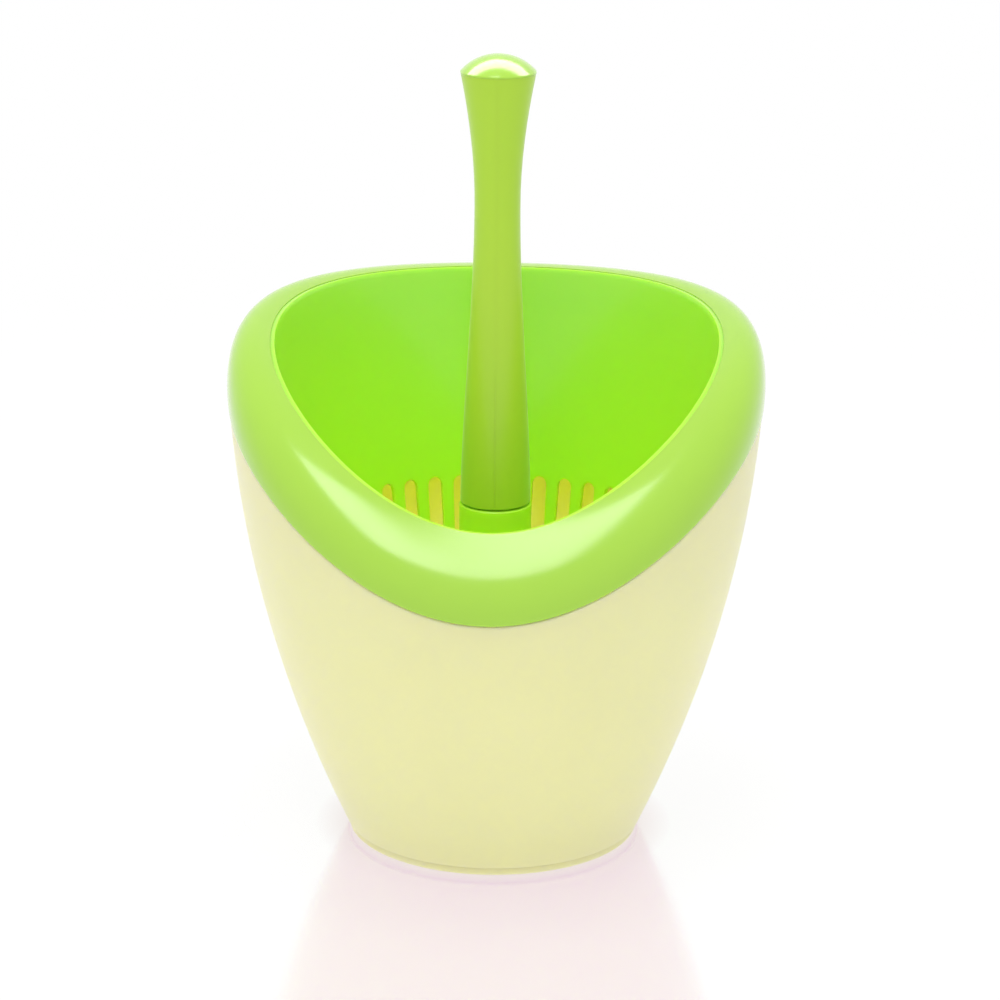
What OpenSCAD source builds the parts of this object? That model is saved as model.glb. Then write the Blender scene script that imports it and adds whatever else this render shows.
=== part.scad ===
// Hand sieve for soil that lifts out of its own catch pot.
// A slotted green bowl hangs in a cream pot by a domed collar, and a flared handle
// bolted to the middle of the bowl lifts both out.
// The pot stands on Z = 0, its axis is Z and the low side of the rim faces -Y.

/* [Catch pot] */
// Diameter that the curve of the wall has at the floor
pot_base_d = 98.5; // [94:0.5:110]
// Diameter that the curve of the wall has where it stands upright
pot_top_d = 180; // [175:0.5:186]
// Height at which the curve of the wall stands upright
pot_upright_z = 175; // [165:1:200]
// Thickness of the wall
pot_wall = 2.4; // [1.8:0.1:3.2]
// Thickness of the floor
pot_floor = 2.6; // [2:0.1:4]
// Height of the foot ring
foot_h = 3; // [2:0.1:5]
// Width of the foot ring
foot_w = 4; // [3:0.1:6]
// Step from the wall in to the foot ring
foot_step = 1; // [0.3:0.1:1.5]

/* [Rim line] */
// Height of the lip at the front
rim_front_z = 125.7; // [120:0.1:132]
// Height of the lip 60 degrees from the front
rim_front_quarter_z = 155.1; // [150:0.1:160]
// Height of the lip at the sides
rim_side_z = 171.9; // [168:0.1:176]
// Height of the lip 60 degrees from the back
rim_back_quarter_z = 179.1; // [175:0.1:183]
// Height of the lip at the back
rim_back_z = 179.5; // [175:0.1:183]

/* [Lower edge of the collar] */
// Height of the lower edge at the front
edge_front_z = 99.5; // [95:0.1:104]
// Height of the lower edge 60 degrees from the front
edge_front_quarter_z = 135.1; // [131:0.1:138]
// Height of the lower edge at the sides
edge_side_z = 152.8; // [149:0.1:155]
// Height of the lower edge 60 degrees from the back
edge_back_quarter_z = 157; // [153:0.1:160]
// Height of the lower edge at the back
edge_back_z = 159.2; // [155:0.1:162]

/* [Collar] */
// Thickness of the collar
collar_t = 2; // [1.6:0.1:2.6]
// Angle by which the dome turns back in at its lower edge
collar_tuck = 6; // [2:1:12]
// Angle at which the dome falls away from the lip at the front
front_fall = 42; // [30:1:46]
// Angle at which the dome rises from the lip where the lip is highest
back_rise = 28; // [20:1:34]
// By how much less it rises at the back
back_ease = 18; // [0:1:24]
// How far the lower edge stands out from the pot
collar_proud = 0.4; // [0.1:0.1:1]
// Depth of the locating skirt inside the pot
skirt_h = 5; // [3:0.5:8]
// Thickness of the locating skirt
skirt_t = 1.4; // [1:0.1:2]
// Gap between the collar and the pot
pot_gap = 0.3; // [0.2:0.05:0.5]

/* [Sieve bowl] */
// Diameter inside the lip at the reference height
mouth_d = 151; // [148:0.2:154]
// Height at which the mouth diameter is measured
mouth_z = 179; // [176:1:182]
// Draft angle of the wall
bowl_draft = 9.6; // [8:0.1:11]
// Thickness of the wall
bowl_wall = 2; // [1.6:0.1:2.6]
// Thickness of the lip above the ledge that carries the collar
lip_t = 1.2; // [0.8:0.1:1.4]
// Gap between the lip and the collar
lip_gap = 0.3; // [0.1:0.05:0.4]
// Height of the top of the floor
floor_z = 84; // [78:1:90]
// Thickness of the floor
floor_t = 2.2; // [1.8:0.1:3]

/* [Slots] */
// Number of slots around the wall
slot_n = 42; // [36:2:46]
// Width of a wall slot
slot_w = 5.2; // [3:0.1:5.6]
// Height of the top of the wall slots
slot_top_z = 106.4; // [100:0.2:110]
// How far the wall slots run in over the floor
slot_run = 12; // [8:1:14]
// Number of slots in the inner ring of the floor
floor_slot_n = 21; // [16:1:24]
// Width of a floor slot
floor_slot_w = 3.6; // [2.5:0.1:4]
// Radius at which the floor slots start
floor_slot_in_r = 22; // [20:1:26]
// Radius at which the floor slots end
floor_slot_out_r = 43; // [38:1:44]

/* [Boss] */
// Diameter of the boss under the handle
boss_d = 24.4; // [22:0.2:28]
// Thickness of the wall of the boss
boss_wall = 2.6; // [2:0.1:3.2]
// Thickness of the plate that closes the boss at the top
boss_plate = 4.2; // [3:0.1:6]
// Height of the joint between the boss and the handle
joint_z = 115.6; // [110:0.2:120]
// Bevel on the upper edge of the boss
joint_bevel = 0.6; // [0.3:0.1:1]
// Height of the shadow gap around the foot of the handle
joint_gap = 0.7; // [0.4:0.1:1]
// Depth of the shadow gap
joint_lap = 1.5; // [1:0.1:2]

/* [Handle] */
// Diameter at the foot
handle_foot_d = 23.8; // [22:0.2:26]
// Diameter at the neck
neck_d = 15.2; // [14:0.2:18]
// Height of the neck
neck_z = 219; // [210:1:228]
// Diameter at the head
head_d = 24.8; // [22:0.2:27]
// Height of the edge of the head
head_z = 262; // [252:0.2:272]
// Thickness of the half shells
handle_wall = 2.2; // [1.8:0.1:2.6]
// Thickness of the solid end that holds the nut
end_block = 13; // [11:0.5:16]
// Thickness of the ribs across the half shells
rib_t = 6; // [5:0.5:8]
// Diameter of the pegs that line up the half shells
peg_d = 3; // [2:0.1:3.4]
// Length of the pegs
peg_len = 3.5; // [2.5:0.1:4]

/* [Cap] */
// Height of the cap from its edge to the top of its dome
cap_h = 6.2; // [5:0.1:9]
// Height of the edge of the cap
cap_edge = 0.6; // [0.4:0.1:3]
// How far the cap stands out from the head
cap_proud = 0.1; // [0:0.1:0.6]
// Length of the plug inside the head
plug_len = 6; // [4:0.5:9]
// Clearance of pieces that slide into each other
fit_gap = 0.3; // [0.1:0.05:0.4]

/* [Fasteners] */
// Diameter of the bolt
bolt_d = 6; // [5:0.5:6.5]
// Length of the bolt under its head
bolt_len = 17; // [16:0.5:19]
// Width across the flats of the bolt head and the nut
hex_af = 10; // [9:0.5:10.5]
// Height of the bolt head
bolt_head_h = 4; // [3:0.1:5]
// Thickness of the nut
nut_h = 5; // [4:0.1:6]
// Material left under the nut
nut_seat = 3; // [2:0.1:4]
// Outer diameter of the washer
washer_d = 12; // [11:0.5:14]
// Thickness of the washer
washer_t = 1.6; // [1:0.1:2]
// Clearance of the bolt in its holes
bolt_gap = 0.3; // [0.2:0.05:0.5]
// Clearance between the threads of the bolt and the nut
thread_gap = 0.1; // [0.05:0.05:0.2]

/* [Hidden] */

$fn = 72;
// Steps of the rim line around the axis, of a curved wall, of a dome and of the hollow under it
rim_steps = 72;
wall_steps = 14;
dome_steps = 12;
hollow_steps = 8;
// How far a cut runs past what it cuts
cut = 1;
cream = "#e6e4b4";
leaf_green = "#9be332";
lime_green = "#bce864";
handle_green = "#a3d242";
steel = "silver";

// Cosine series through five heights from the front to the back
function waves(h) =
    let (
        front_back_half = (h[0] - h[4]) / 2,
        quarter_half = (h[1] - h[3]) / 2,
        front_back_mid = (h[0] + h[4]) / 2,
        quarter_mid = (h[1] + h[3]) / 2,
        first = (front_back_half + quarter_half) / 1.5,
        even = (front_back_mid - quarter_mid) / 1.5,
        mean = front_back_mid - even,
        side_rise = h[2] - mean
    )
    [mean, first, (even - side_rise) / 2, front_back_half - first, (even + side_rise) / 2];
rim_waves = waves([rim_front_z, rim_front_quarter_z, rim_side_z, rim_back_quarter_z, rim_back_z]);
edge_waves = waves([edge_front_z, edge_front_quarter_z, edge_side_z, edge_back_quarter_z, edge_back_z]);
// Height of a line at the angle a from the front
function line_z(w, a) = w[0] + w[1] * cos(a) + w[2] * cos(2 * a) + w[3] * cos(3 * a) + w[4] * cos(4 * a);
function rim_z(a) = line_z(rim_waves, a);
function edge_z(a) = line_z(edge_waves, a);
rim_angles = [for (i = [0 : rim_steps - 1]) i * 360 / rim_steps];
rim_top_z = max([for (a = rim_angles) rim_z(a)]);
edge_top_z = max([for (a = rim_angles) edge_z(a)]);

// Radius of the outside of the pot and of the inside of the bowl at a height
function pot_r(z) = pot_top_d / 2 - (pot_top_d - pot_base_d) / 2 * pow(1 - z / pot_upright_z, 2);
function bowl_r(z) = mouth_d / 2 - (mouth_z - z) * tan(bowl_draft);

foot_r = pot_r(foot_h) - foot_step;
pot_floor_z = foot_h - foot_step + pot_floor;
pot_cut_z = edge_top_z - pot_gap + cut;
bowl_cut_z = rim_top_z + cut;
ledge_drop = collar_t + lip_gap;
cutter_r = max(pot_top_d, mouth_d) / 2 + 20;

boss_r = boss_d / 2;
plate_z = joint_z - boss_plate;
bolt_hole_r = bolt_d / 2 + bolt_gap;
hex_r = hex_af / 2 / cos(30);
nut_z = joint_z + nut_seat;
head_top_z = plate_z - washer_t;
cavity_z = joint_z + end_block;
// Ribs stand at these shares of the way from the solid end to the neck
rib_shares = [0.3, 0.75];
rib_z = [for (share = rib_shares) cavity_z + (neck_z - cavity_z) * share];

// Easing curve from 0 to 1 that starts level and ends with the given slope
function ease(s, slope) = (3 - slope) * s * s + (slope - 2) * s * s * s;
foot_slope = 0.4;
head_slope = 1.8;
// Radius of the outside of the handle at a height
function handle_r(z) = z < neck_z
    ? neck_d / 2 + (handle_foot_d - neck_d) / 2 * ease((neck_z - z) / (neck_z - joint_z), foot_slope)
    : neck_d / 2 + (head_d - neck_d) / 2 * ease((z - neck_z) / (head_z - neck_z), head_slope);
// Evenly spaced heights from low to high
function heights(low, high, n) = [for (i = [0 : n]) low + (high - low) * i / n];

// Point at radius r and height z in the direction a from the front
function around(r, z, a) = [r * sin(a), -r * cos(a), z];

// Closed ring swept around the axis through the sections of all directions
module swept_ring(sections) {
    n = len(sections);
    m = len(sections[0]);
    points = [for (i = [0 : n - 1], p = sections[i]) around(p[0], p[1], i * 360 / n)];
    faces = [for (i = [0 : n - 1], j = [0 : m - 1], half = [0, 1])
        let (
            near = i * m,
            far = (i + 1) % n * m,
            next = (j + 1) % m
        )
        half == 0 ? [near + j, near + next, far + next] : [near + j, far + next, far + j]];
    polyhedron(points, faces, convexity = 6);
}

// Everything above a line lowered by drop, around a wall with the given radii at a height
module above_line(line, drop, in_r, out_r, top_z) {
    swept_ring([for (a = rim_angles)
        let (
            z = line(a) - drop,
            low_r = in_r(z) - cut
        )
        [[low_r, z], [out_r(z) + cut, z], [cutter_r, top_z], [low_r, top_z]]]);
}

// Cream pot that stands on a foot ring and catches what falls through
module catch_pot() {
    outer = [for (z = heights(foot_h, pot_cut_z, wall_steps)) [pot_r(z), z]];
    inner = [for (z = heights(pot_cut_z, pot_floor_z, wall_steps)) [pot_r(z) - pot_wall, z]];
    foot = [[0, foot_h - foot_step], [foot_r - foot_w, foot_h - foot_step], [foot_r - foot_w, 0],
        [foot_r, 0], [foot_r, foot_h]];
    line = function (a) edge_z(a);
    inside = function (z) pot_r(z) - pot_wall;
    outside = function (z) pot_r(z);
    color(cream)
    difference() {
        rotate_extrude() polygon(concat(foot, outer, inner, [[0, pot_floor_z]]));
        above_line(line, pot_gap, inside, outside, pot_cut_z + cut);
    }
}

// One slot that starts in the wall of the bowl and runs in over the floor
module wall_slot() {
    in_r = bowl_r(floor_z) - slot_run;
    reach = bowl_r(slot_top_z) + bowl_wall + cut - in_r;
    round_z = slot_top_z - slot_w / 2;
    translate([in_r, -slot_w / 2, floor_z - floor_t - cut])
        cube([reach, slot_w, round_z - floor_z + floor_t + cut]);
    translate([in_r, 0, round_z])
        rotate([0, 90, 0])
        cylinder(d = slot_w, h = reach);
}

// One slot of the inner ring of the floor
module floor_slot() {
    depth = floor_t + 2 * cut;
    translate([0, 0, floor_z - floor_t - cut]) {
        translate([floor_slot_in_r, -floor_slot_w / 2, 0])
            cube([floor_slot_out_r - floor_slot_in_r, floor_slot_w, depth]);
        for (r = [floor_slot_in_r, floor_slot_out_r])
            translate([r, 0, 0])
                cylinder(d = floor_slot_w, h = depth);
    }
}

// Green bowl with slots in its wall and floor and a hollow boss for the handle
module sieve_bowl() {
    under_z = floor_z - floor_t;
    shell = [[boss_r - boss_wall, under_z], [bowl_r(under_z) + bowl_wall, under_z],
        [bowl_r(bowl_cut_z) + bowl_wall, bowl_cut_z], [bowl_r(bowl_cut_z), bowl_cut_z],
        [bowl_r(floor_z), floor_z], [boss_r, floor_z],
        [boss_r, joint_z - joint_bevel], [boss_r - joint_bevel, joint_z],
        [bolt_hole_r, joint_z], [bolt_hole_r, plate_z], [boss_r - boss_wall, plate_z]];
    ledge_out = bowl_r(bowl_cut_z) + bowl_wall + cut;
    ledge_low = rim_front_z - ledge_drop - cut;
    line = function (a) rim_z(a);
    inside = function (z) bowl_r(z);
    outside = function (z) bowl_r(z) + bowl_wall;
    color(leaf_green)
    difference() {
        rotate_extrude() polygon(shell);
        above_line(line, 0, inside, outside, bowl_cut_z + cut);
        intersection() {
            above_line(line, ledge_drop, inside, outside, bowl_cut_z + cut);
            rotate_extrude() polygon([[bowl_r(ledge_low) + lip_t, ledge_low], [ledge_out, ledge_low],
                [ledge_out, bowl_cut_z + cut], [bowl_r(bowl_cut_z + cut) + lip_t, bowl_cut_z + cut]]);
        }
        for (i = [0 : slot_n - 1])
            rotate([0, 0, 90 + (i + 0.5) * 360 / slot_n])
            wall_slot();
        for (i = [0 : floor_slot_n - 1])
            rotate([0, 0, 90 + (i + 0.5) * 360 / floor_slot_n])
            floor_slot();
    }
}

// Point at the share t of an arc that leaves start towards corner and ends at stop
function arc(start, corner, stop, t) =
    (1 - t) * (1 - t) * start + 2 * t * (1 - t) * corner + t * t * stop;

// Section of the collar in one direction, as points of radius and height
function collar_section(a) =
    let (
        lip_z = rim_z(a),
        low_z = edge_z(a),
        skirt_z = low_z - skirt_h,
        in_r = bowl_r(lip_z) + lip_t + lip_gap,
        seat_r = pot_r(low_z) - pot_wall - pot_gap,
        skirt_r = pot_r(skirt_z) - pot_wall - pot_gap,
        lip = [in_r, lip_z],
        low = [pot_r(low_z) + collar_proud, low_z],
        height_share = (lip_z - rim_front_z) / (rim_top_z - rim_front_z),
        back_share = pow(max(0, -cos(a)), 2),
        crest = (front_fall + back_rise) * height_share - front_fall - back_ease * back_share,
        span = low - lip,
        reach = (span[0] * cos(collar_tuck) - span[1] * sin(collar_tuck)) / cos(crest + collar_tuck),
        corner = lip + reach * [cos(crest), sin(crest)],
        in_lip = [in_r + bowl_wall - lip_t, lip_z - collar_t],
        in_low = [seat_r - skirt_t, low_z],
        in_corner = corner - [collar_t, collar_t]
    )
    concat(
        [for (i = [0 : dome_steps]) arc(lip, corner, low, i / dome_steps)],
        [[seat_r, low_z], [skirt_r, skirt_z], [skirt_r - skirt_t, skirt_z], in_low],
        [for (i = [1 : hollow_steps]) arc(in_low, in_corner, in_lip, i / hollow_steps)],
        [[in_r, lip_z - collar_t]]
    );

// Domed green collar that joins the lip of the bowl to the rim of the pot
module rim_collar() {
    color(lime_green)
    swept_ring([for (a = rim_angles) collar_section(a)]);
}

// Space between two ribs inside the handle
module handle_bay(low, high) {
    rotate_extrude()
        polygon(concat([[0, low]],
            [for (z = heights(low, high, wall_steps / 2)) [handle_r(z) - handle_wall, z]],
            [[0, high]]));
}

// Whole handle before it is split into its two shells
module handle_body() {
    gap_z = joint_z + joint_gap;
    gap_r = handle_r(joint_z) - joint_lap;
    low_edge = [[0, joint_z], [gap_r, joint_z], [gap_r, gap_z]];
    lower = [for (z = heights(gap_z, neck_z, wall_steps)) [handle_r(z), z]];
    upper = [for (z = heights(neck_z, head_z, wall_steps)) if (z > neck_z) [handle_r(z), z]];
    difference() {
        rotate_extrude() polygon(concat(low_edge, lower, upper, [[0, head_z]]));
        handle_bay(cavity_z, rib_z[0]);
        handle_bay(rib_z[0] + rib_t, rib_z[1]);
        handle_bay(rib_z[1] + rib_t, neck_z);
        handle_bay(neck_z, head_z);
        translate([0, 0, joint_z - cut])
            cylinder(r = bolt_hole_r, h = end_block + 2 * cut);
        translate([0, 0, nut_z])
            cylinder(r = hex_r + bolt_gap, h = nut_h + bolt_gap, $fn = 6);
    }
}

// Half of the space around the handle, on the side of +X
module right_side() {
    translate([0, -head_d, 0])
        cube([head_d, 2 * head_d, head_z + cut]);
}

// Pegs that stand on the ribs and point along +X
module pegs(d, length) {
    for (z = rib_z)
        translate([0, 0, z + rib_t / 2])
            rotate([0, 90, 0])
            cylinder(d = d, h = length);
}

// Half shell on the side of -X, which carries the pegs
module handle_left_half() {
    color(handle_green) {
        difference() {
            handle_body();
            right_side();
        }
        pegs(peg_d, peg_len);
    }
}

// Half shell on the side of +X, with holes for the pegs
module handle_right_half() {
    color(handle_green)
    difference() {
        intersection() {
            handle_body();
            right_side();
        }
        translate([-cut, 0, 0])
            pegs(peg_d + fit_gap, peg_len + fit_gap + cut);
    }
}

// Domed cap whose plug closes the open head and holds the half shells together
module handle_cap() {
    cap_r = head_d / 2 + cap_proud;
    plug_r = handle_r(head_z - plug_len) - handle_wall - fit_gap;
    plug_z = head_z - plug_len;
    plug = [[0, plug_z], [plug_r, plug_z], [plug_r, head_z]];
    dome_h = cap_h - cap_edge;
    dome_r = (cap_r * cap_r + dome_h * dome_h) / (2 * dome_h);
    dome_z = head_z + cap_h - dome_r;
    dome_turn = asin(cap_r / dome_r);
    dome = [for (i = [0 : dome_steps]) let (b = dome_turn * (1 - i / dome_steps))
        [dome_r * sin(b), dome_z + dome_r * cos(b)]];
    color(lime_green)
    rotate_extrude()
        polygon(concat(plug, [[cap_r, head_z]], dome));
}

// Nut trapped between the half shells
module captive_nut() {
    color(steel)
    difference() {
        translate([0, 0, nut_z])
            cylinder(r = hex_r, h = nut_h, $fn = 6);
        translate([0, 0, nut_z - cut])
            cylinder(r = bolt_d / 2 + thread_gap, h = nut_h + 2 * cut);
    }
}

// Bolt that comes up through the boss from inside it
module handle_bolt() {
    color(steel)
    translate([0, 0, head_top_z]) {
        translate([0, 0, -bolt_head_h])
            cylinder(r = hex_r, h = bolt_head_h, $fn = 6);
        cylinder(d = bolt_d, h = bolt_len);
    }
}

// Washer between the bolt head and the plate of the boss
module bolt_washer() {
    color(steel)
    translate([0, 0, head_top_z])
    difference() {
        cylinder(d = washer_d, h = washer_t);
        translate([0, 0, -cut])
            cylinder(r = bolt_hole_r, h = washer_t + 2 * cut);
    }
}

catch_pot();
sieve_bowl();
rim_collar();
handle_left_half();
handle_right_half();
handle_cap();
captive_nut();
handle_bolt();
bolt_washer();
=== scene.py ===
# %% [markdown]
# # A soil sieve that lifts out of its catch pot
# The part is a slotted green bowl that hangs in a cream pot by a domed collar, with an upright handle in
# its middle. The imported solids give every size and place. This lesson models smoother pieces over them,
# with the small round edges that a mould leaves, and then mixes plastics that look moulded.

# %% Load the frame
import math

import bmesh
import bpy
from mathutils import Matrix, Vector


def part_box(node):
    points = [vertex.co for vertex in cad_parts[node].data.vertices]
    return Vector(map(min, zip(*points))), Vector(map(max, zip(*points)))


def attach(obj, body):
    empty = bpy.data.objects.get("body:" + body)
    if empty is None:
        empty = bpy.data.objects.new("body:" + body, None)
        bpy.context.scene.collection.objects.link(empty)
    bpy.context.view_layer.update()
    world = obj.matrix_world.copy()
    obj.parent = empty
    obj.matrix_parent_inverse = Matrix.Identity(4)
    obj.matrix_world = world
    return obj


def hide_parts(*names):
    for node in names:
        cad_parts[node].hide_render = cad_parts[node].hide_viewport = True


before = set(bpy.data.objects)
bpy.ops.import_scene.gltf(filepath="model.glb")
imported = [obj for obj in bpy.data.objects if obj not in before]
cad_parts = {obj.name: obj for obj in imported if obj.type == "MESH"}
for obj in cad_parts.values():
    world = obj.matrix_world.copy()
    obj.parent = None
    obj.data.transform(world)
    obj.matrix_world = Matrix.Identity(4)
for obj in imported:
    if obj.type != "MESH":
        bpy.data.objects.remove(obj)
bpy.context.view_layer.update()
MM = 0.001

# %% [markdown]
# ## Camera
# The photograph is taken from the front and a little above, with a long lens, so the pot hardly narrows
# with distance. The camera stands on the side of -Y, turned a little around the axis, because the low
# side of the rim doesn't quite face it. It tips down and rolls a fraction of a degree, as the whole
# object leans a little in the picture. A camera could also be aimed with a constraint, but a matrix keeps
# its place exact and easy to read.

# %% Set the camera
VIEW_DISTANCE = 1.1004
VIEW_HEIGHT = 0.4544
VIEW_TURN = math.radians(1.493)
VIEW_PITCH = math.radians(17.082)
VIEW_ROLL = math.radians(0.427)
SENSOR_WIDTH = 36.0
FOCAL_LENGTH = 122.4
FRAME_SHIFT = 0.0047

camera = bpy.data.objects.new("camera", bpy.data.cameras.new("camera"))
bpy.context.scene.collection.objects.link(camera)
camera.data.sensor_width = SENSOR_WIDTH
camera.data.lens = FOCAL_LENGTH
camera.data.shift_x = FRAME_SHIFT
tip_down = Matrix.Rotation(math.pi / 2 - VIEW_PITCH, 4, "X")
lean = Matrix.Rotation(VIEW_ROLL, 4, "Z")
step_aside = Matrix.Rotation(VIEW_TURN, 4, "Z")
stand_off = Matrix.Translation((0, -VIEW_DISTANCE, VIEW_HEIGHT))
camera.matrix_world = step_aside @ stand_off @ tip_down @ lean
bpy.context.scene.camera = camera
print("camera stands at", tuple(round(v, 3) for v in camera.matrix_world.translation))

# %% [markdown]
# ## Rim line
# The lip of the bowl is scooped low at the front and stays nearly level at the sides and the back, and so
# does the lower edge of the collar. The solids put a cosine series through five heights of each line, and
# the same series is written here, so that every piece that follows a line meets its neighbours. A drawn
# curve would do too, but a formula gives the height at any angle.

# %% Write the rim line
RIM_HEIGHTS = (125.7, 155.1, 171.9, 179.1, 179.5)
EDGE_HEIGHTS = (99.5, 135.1, 152.8, 157, 159.2)


def waves(front, front_quarter, side, back_quarter, back):
    """Cosine series through heights at the front, at 60, 90 and 120 degrees and at the back"""
    front_back_half = (front - back) / 2
    quarter_half = (front_quarter - back_quarter) / 2
    front_back_mid = (front + back) / 2
    quarter_mid = (front_quarter + back_quarter) / 2
    first = (front_back_half + quarter_half) / 1.5
    even = (front_back_mid - quarter_mid) / 1.5
    mean = front_back_mid - even
    side_rise = side - mean
    return (mean, first, (even - side_rise) / 2, front_back_half - first, (even + side_rise) / 2)


RIM_WAVES = waves(*RIM_HEIGHTS)
EDGE_WAVES = waves(*EDGE_HEIGHTS)


def rim_z(turn):
    """Height of the lip at an angle from the front"""
    return sum(wave * math.cos(k * turn) for k, wave in enumerate(RIM_WAVES)) * MM


def edge_z(turn):
    """Height of the lower edge of the collar at an angle from the front"""
    return sum(wave * math.cos(k * turn) for k, wave in enumerate(EDGE_WAVES)) * MM


def around(radius, height, turn):
    """Point at an angle from the front"""
    return Vector((radius * math.sin(turn), -radius * math.cos(turn), height))


print("lip heights front, side, back:", [round(rim_z(t), 4) for t in (0, math.pi / 2, math.pi)])

# %% [markdown]
# ## Tools for turned pieces
# Every large piece here is a thin shell around the axis. By hand one would draw a circle of edges and
# extrude it ring after ring, which is what this helper does: each new ring is extruded and then set to
# its place. Rings that fall on the axis or on the first ring are merged at the end, which closes poles
# and seams. A second helper rounds the corners of a section, as a mould maker would.

# %% Round the corners of a section
CORNER_STEPS = 4
SUPPORT_SHARE = 0.5
RUN_LIMIT = 0.45


def rounded(corners):
    """Section through corners of (radius, height, fillet), with the fillets as arcs"""
    points = []
    for i, (r, z, fillet) in enumerate(corners):
        corner = Vector((r, z))
        if fillet == 0 or i == 0 or i == len(corners) - 1:
            points.append(corner)
            continue
        before = Vector(corners[i - 1][:2]) - corner
        after = Vector(corners[i + 1][:2]) - corner
        half_angle = before.angle(after) / 2
        run = min(fillet / math.tan(half_angle), RUN_LIMIT * before.length, RUN_LIMIT * after.length)
        before.normalize()
        after.normalize()
        middle = corner + (before + after).normalized() * run / math.cos(half_angle)
        start = corner + before * run - middle
        end = corner + after * run - middle
        points.append(corner + before * run * (1 + SUPPORT_SHARE))
        for step in range(CORNER_STEPS + 1):
            share = step / CORNER_STEPS
            points.append(middle + start.slerp(end, share) * start.length)
        points.append(corner + after * run * (1 + SUPPORT_SHARE))
    return points


def heights(low, high, count):
    """Evenly spaced heights, both ends among them"""
    return [low + (high - low) * i / count for i in range(count + 1)]


print("a corner takes", CORNER_STEPS + 3, "points")

# %% Extrude rings into a shell
MERGE_DISTANCE = 0.002 * MM
SMOOTH_ANGLE = math.radians(38)


def new_circle(name, columns):
    """Circle of edges in edit mode, whose points remember their column and their ring"""
    bpy.ops.object.select_all(action="DESELECT")
    bpy.ops.mesh.primitive_circle_add(vertices=columns, radius=1, fill_type="NOTHING", location=(0, 0, 0))
    piece = bpy.context.object
    piece.name = name
    piece.data.name = name
    bpy.ops.object.mode_set(mode="EDIT")
    bpy.ops.mesh.select_mode(type="VERT")
    mesh = bmesh.from_edit_mesh(piece.data)
    column = mesh.verts.layers.int.new("column")
    mesh.verts.layers.int.new("ring")
    for i, point in enumerate(mesh.verts):
        point[column] = i
    bpy.ops.mesh.select_all(action="SELECT")
    return piece


def loft(name, rings):
    """Shell through rings of points; the object stays in edit mode"""
    piece = new_circle(name, len(rings[0]))
    for k, ring_points in enumerate(rings):
        if k > 0:
            bpy.ops.mesh.extrude_edges_indiv()
        mesh = bmesh.from_edit_mesh(piece.data)
        column = mesh.verts.layers.int["column"]
        ring = mesh.verts.layers.int["ring"]
        for point in mesh.verts:
            if point.select:
                point[ring] = k
                point.co = ring_points[point[column]]
        bmesh.update_edit_mesh(piece.data)
    return piece


def close_shell():
    """Merge poles and seams and turn the faces outwards"""
    bpy.ops.mesh.select_all(action="SELECT")
    bpy.ops.mesh.remove_doubles(threshold=MERGE_DISTANCE)
    bpy.ops.mesh.normals_make_consistent(inside=False)


def finish_mesh(piece):
    """Leave edit mode, drop the helper numbers and shade the round stretches smooth"""
    if bpy.context.mode == "EDIT_MESH":
        bpy.ops.object.mode_set(mode="OBJECT")
    for name in ("column", "ring"):
        if name in piece.data.attributes:
            piece.data.attributes.remove(piece.data.attributes[name])
    bpy.ops.object.select_all(action="DESELECT")
    piece.select_set(True)
    bpy.context.view_layer.objects.active = piece
    bpy.ops.object.shade_smooth_by_angle(angle=SMOOTH_ANGLE)
    low = [round(min(c[i] for c in piece.bound_box) / MM, 1) for i in range(3)]
    high = [round(max(c[i] for c in piece.bound_box) / MM, 1) for i in range(3)]
    print(piece.name, len(piece.data.polygons), "faces, from", low, "to", high, "mm")
    return piece


def turned(name, section, columns, half_step=False):
    """Closed shell whose section, a list of points of radius and height, may change around the axis"""
    shift = 0.5 if half_step else 0
    turns = [2 * math.pi * (i + shift) / columns for i in range(columns)]
    sections = [section(turn) for turn in turns]
    rings = []
    for k in range(len(sections[0])):
        rings.append([around(*sections[i][k], turns[i]) for i in range(columns)])
    piece = loft(name, rings)
    close_shell()
    return piece


# %% [markdown]
# ## Catch pot
# The pot is one cream moulding. Its wall leaves the low foot ring at a slant and stands upright near the
# top, and its rim dips at the front under the collar. A circle spun from a profile would give a level
# rim, so the section is worked out afresh at each angle, and only its height changes.

# %% Sizes of the pot
POT_BASE_R = 49.25 * MM
POT_TOP_R = 90 * MM
POT_UPRIGHT_Z = 175 * MM
POT_WALL = 2.4 * MM
POT_FLOOR = 2.6 * MM
FOOT_H = 3 * MM
FOOT_W = 4 * MM
FOOT_STEP = 1 * MM
POT_GAP = 0.3 * MM
POT_COLUMNS = 180
POT_WALL_RINGS = 26


def pot_r(z):
    """Radius of the outside of the pot"""
    return POT_TOP_R - (POT_TOP_R - POT_BASE_R) * (1 - z / POT_UPRIGHT_Z) ** 2


# %% Model the pot
FOOT_FILLET = 0.7 * MM
STEP_FILLET = 0.25 * MM
POT_RIM_FILLET = 0.7 * MM
POT_FLOOR_FILLET = 4 * MM


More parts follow.
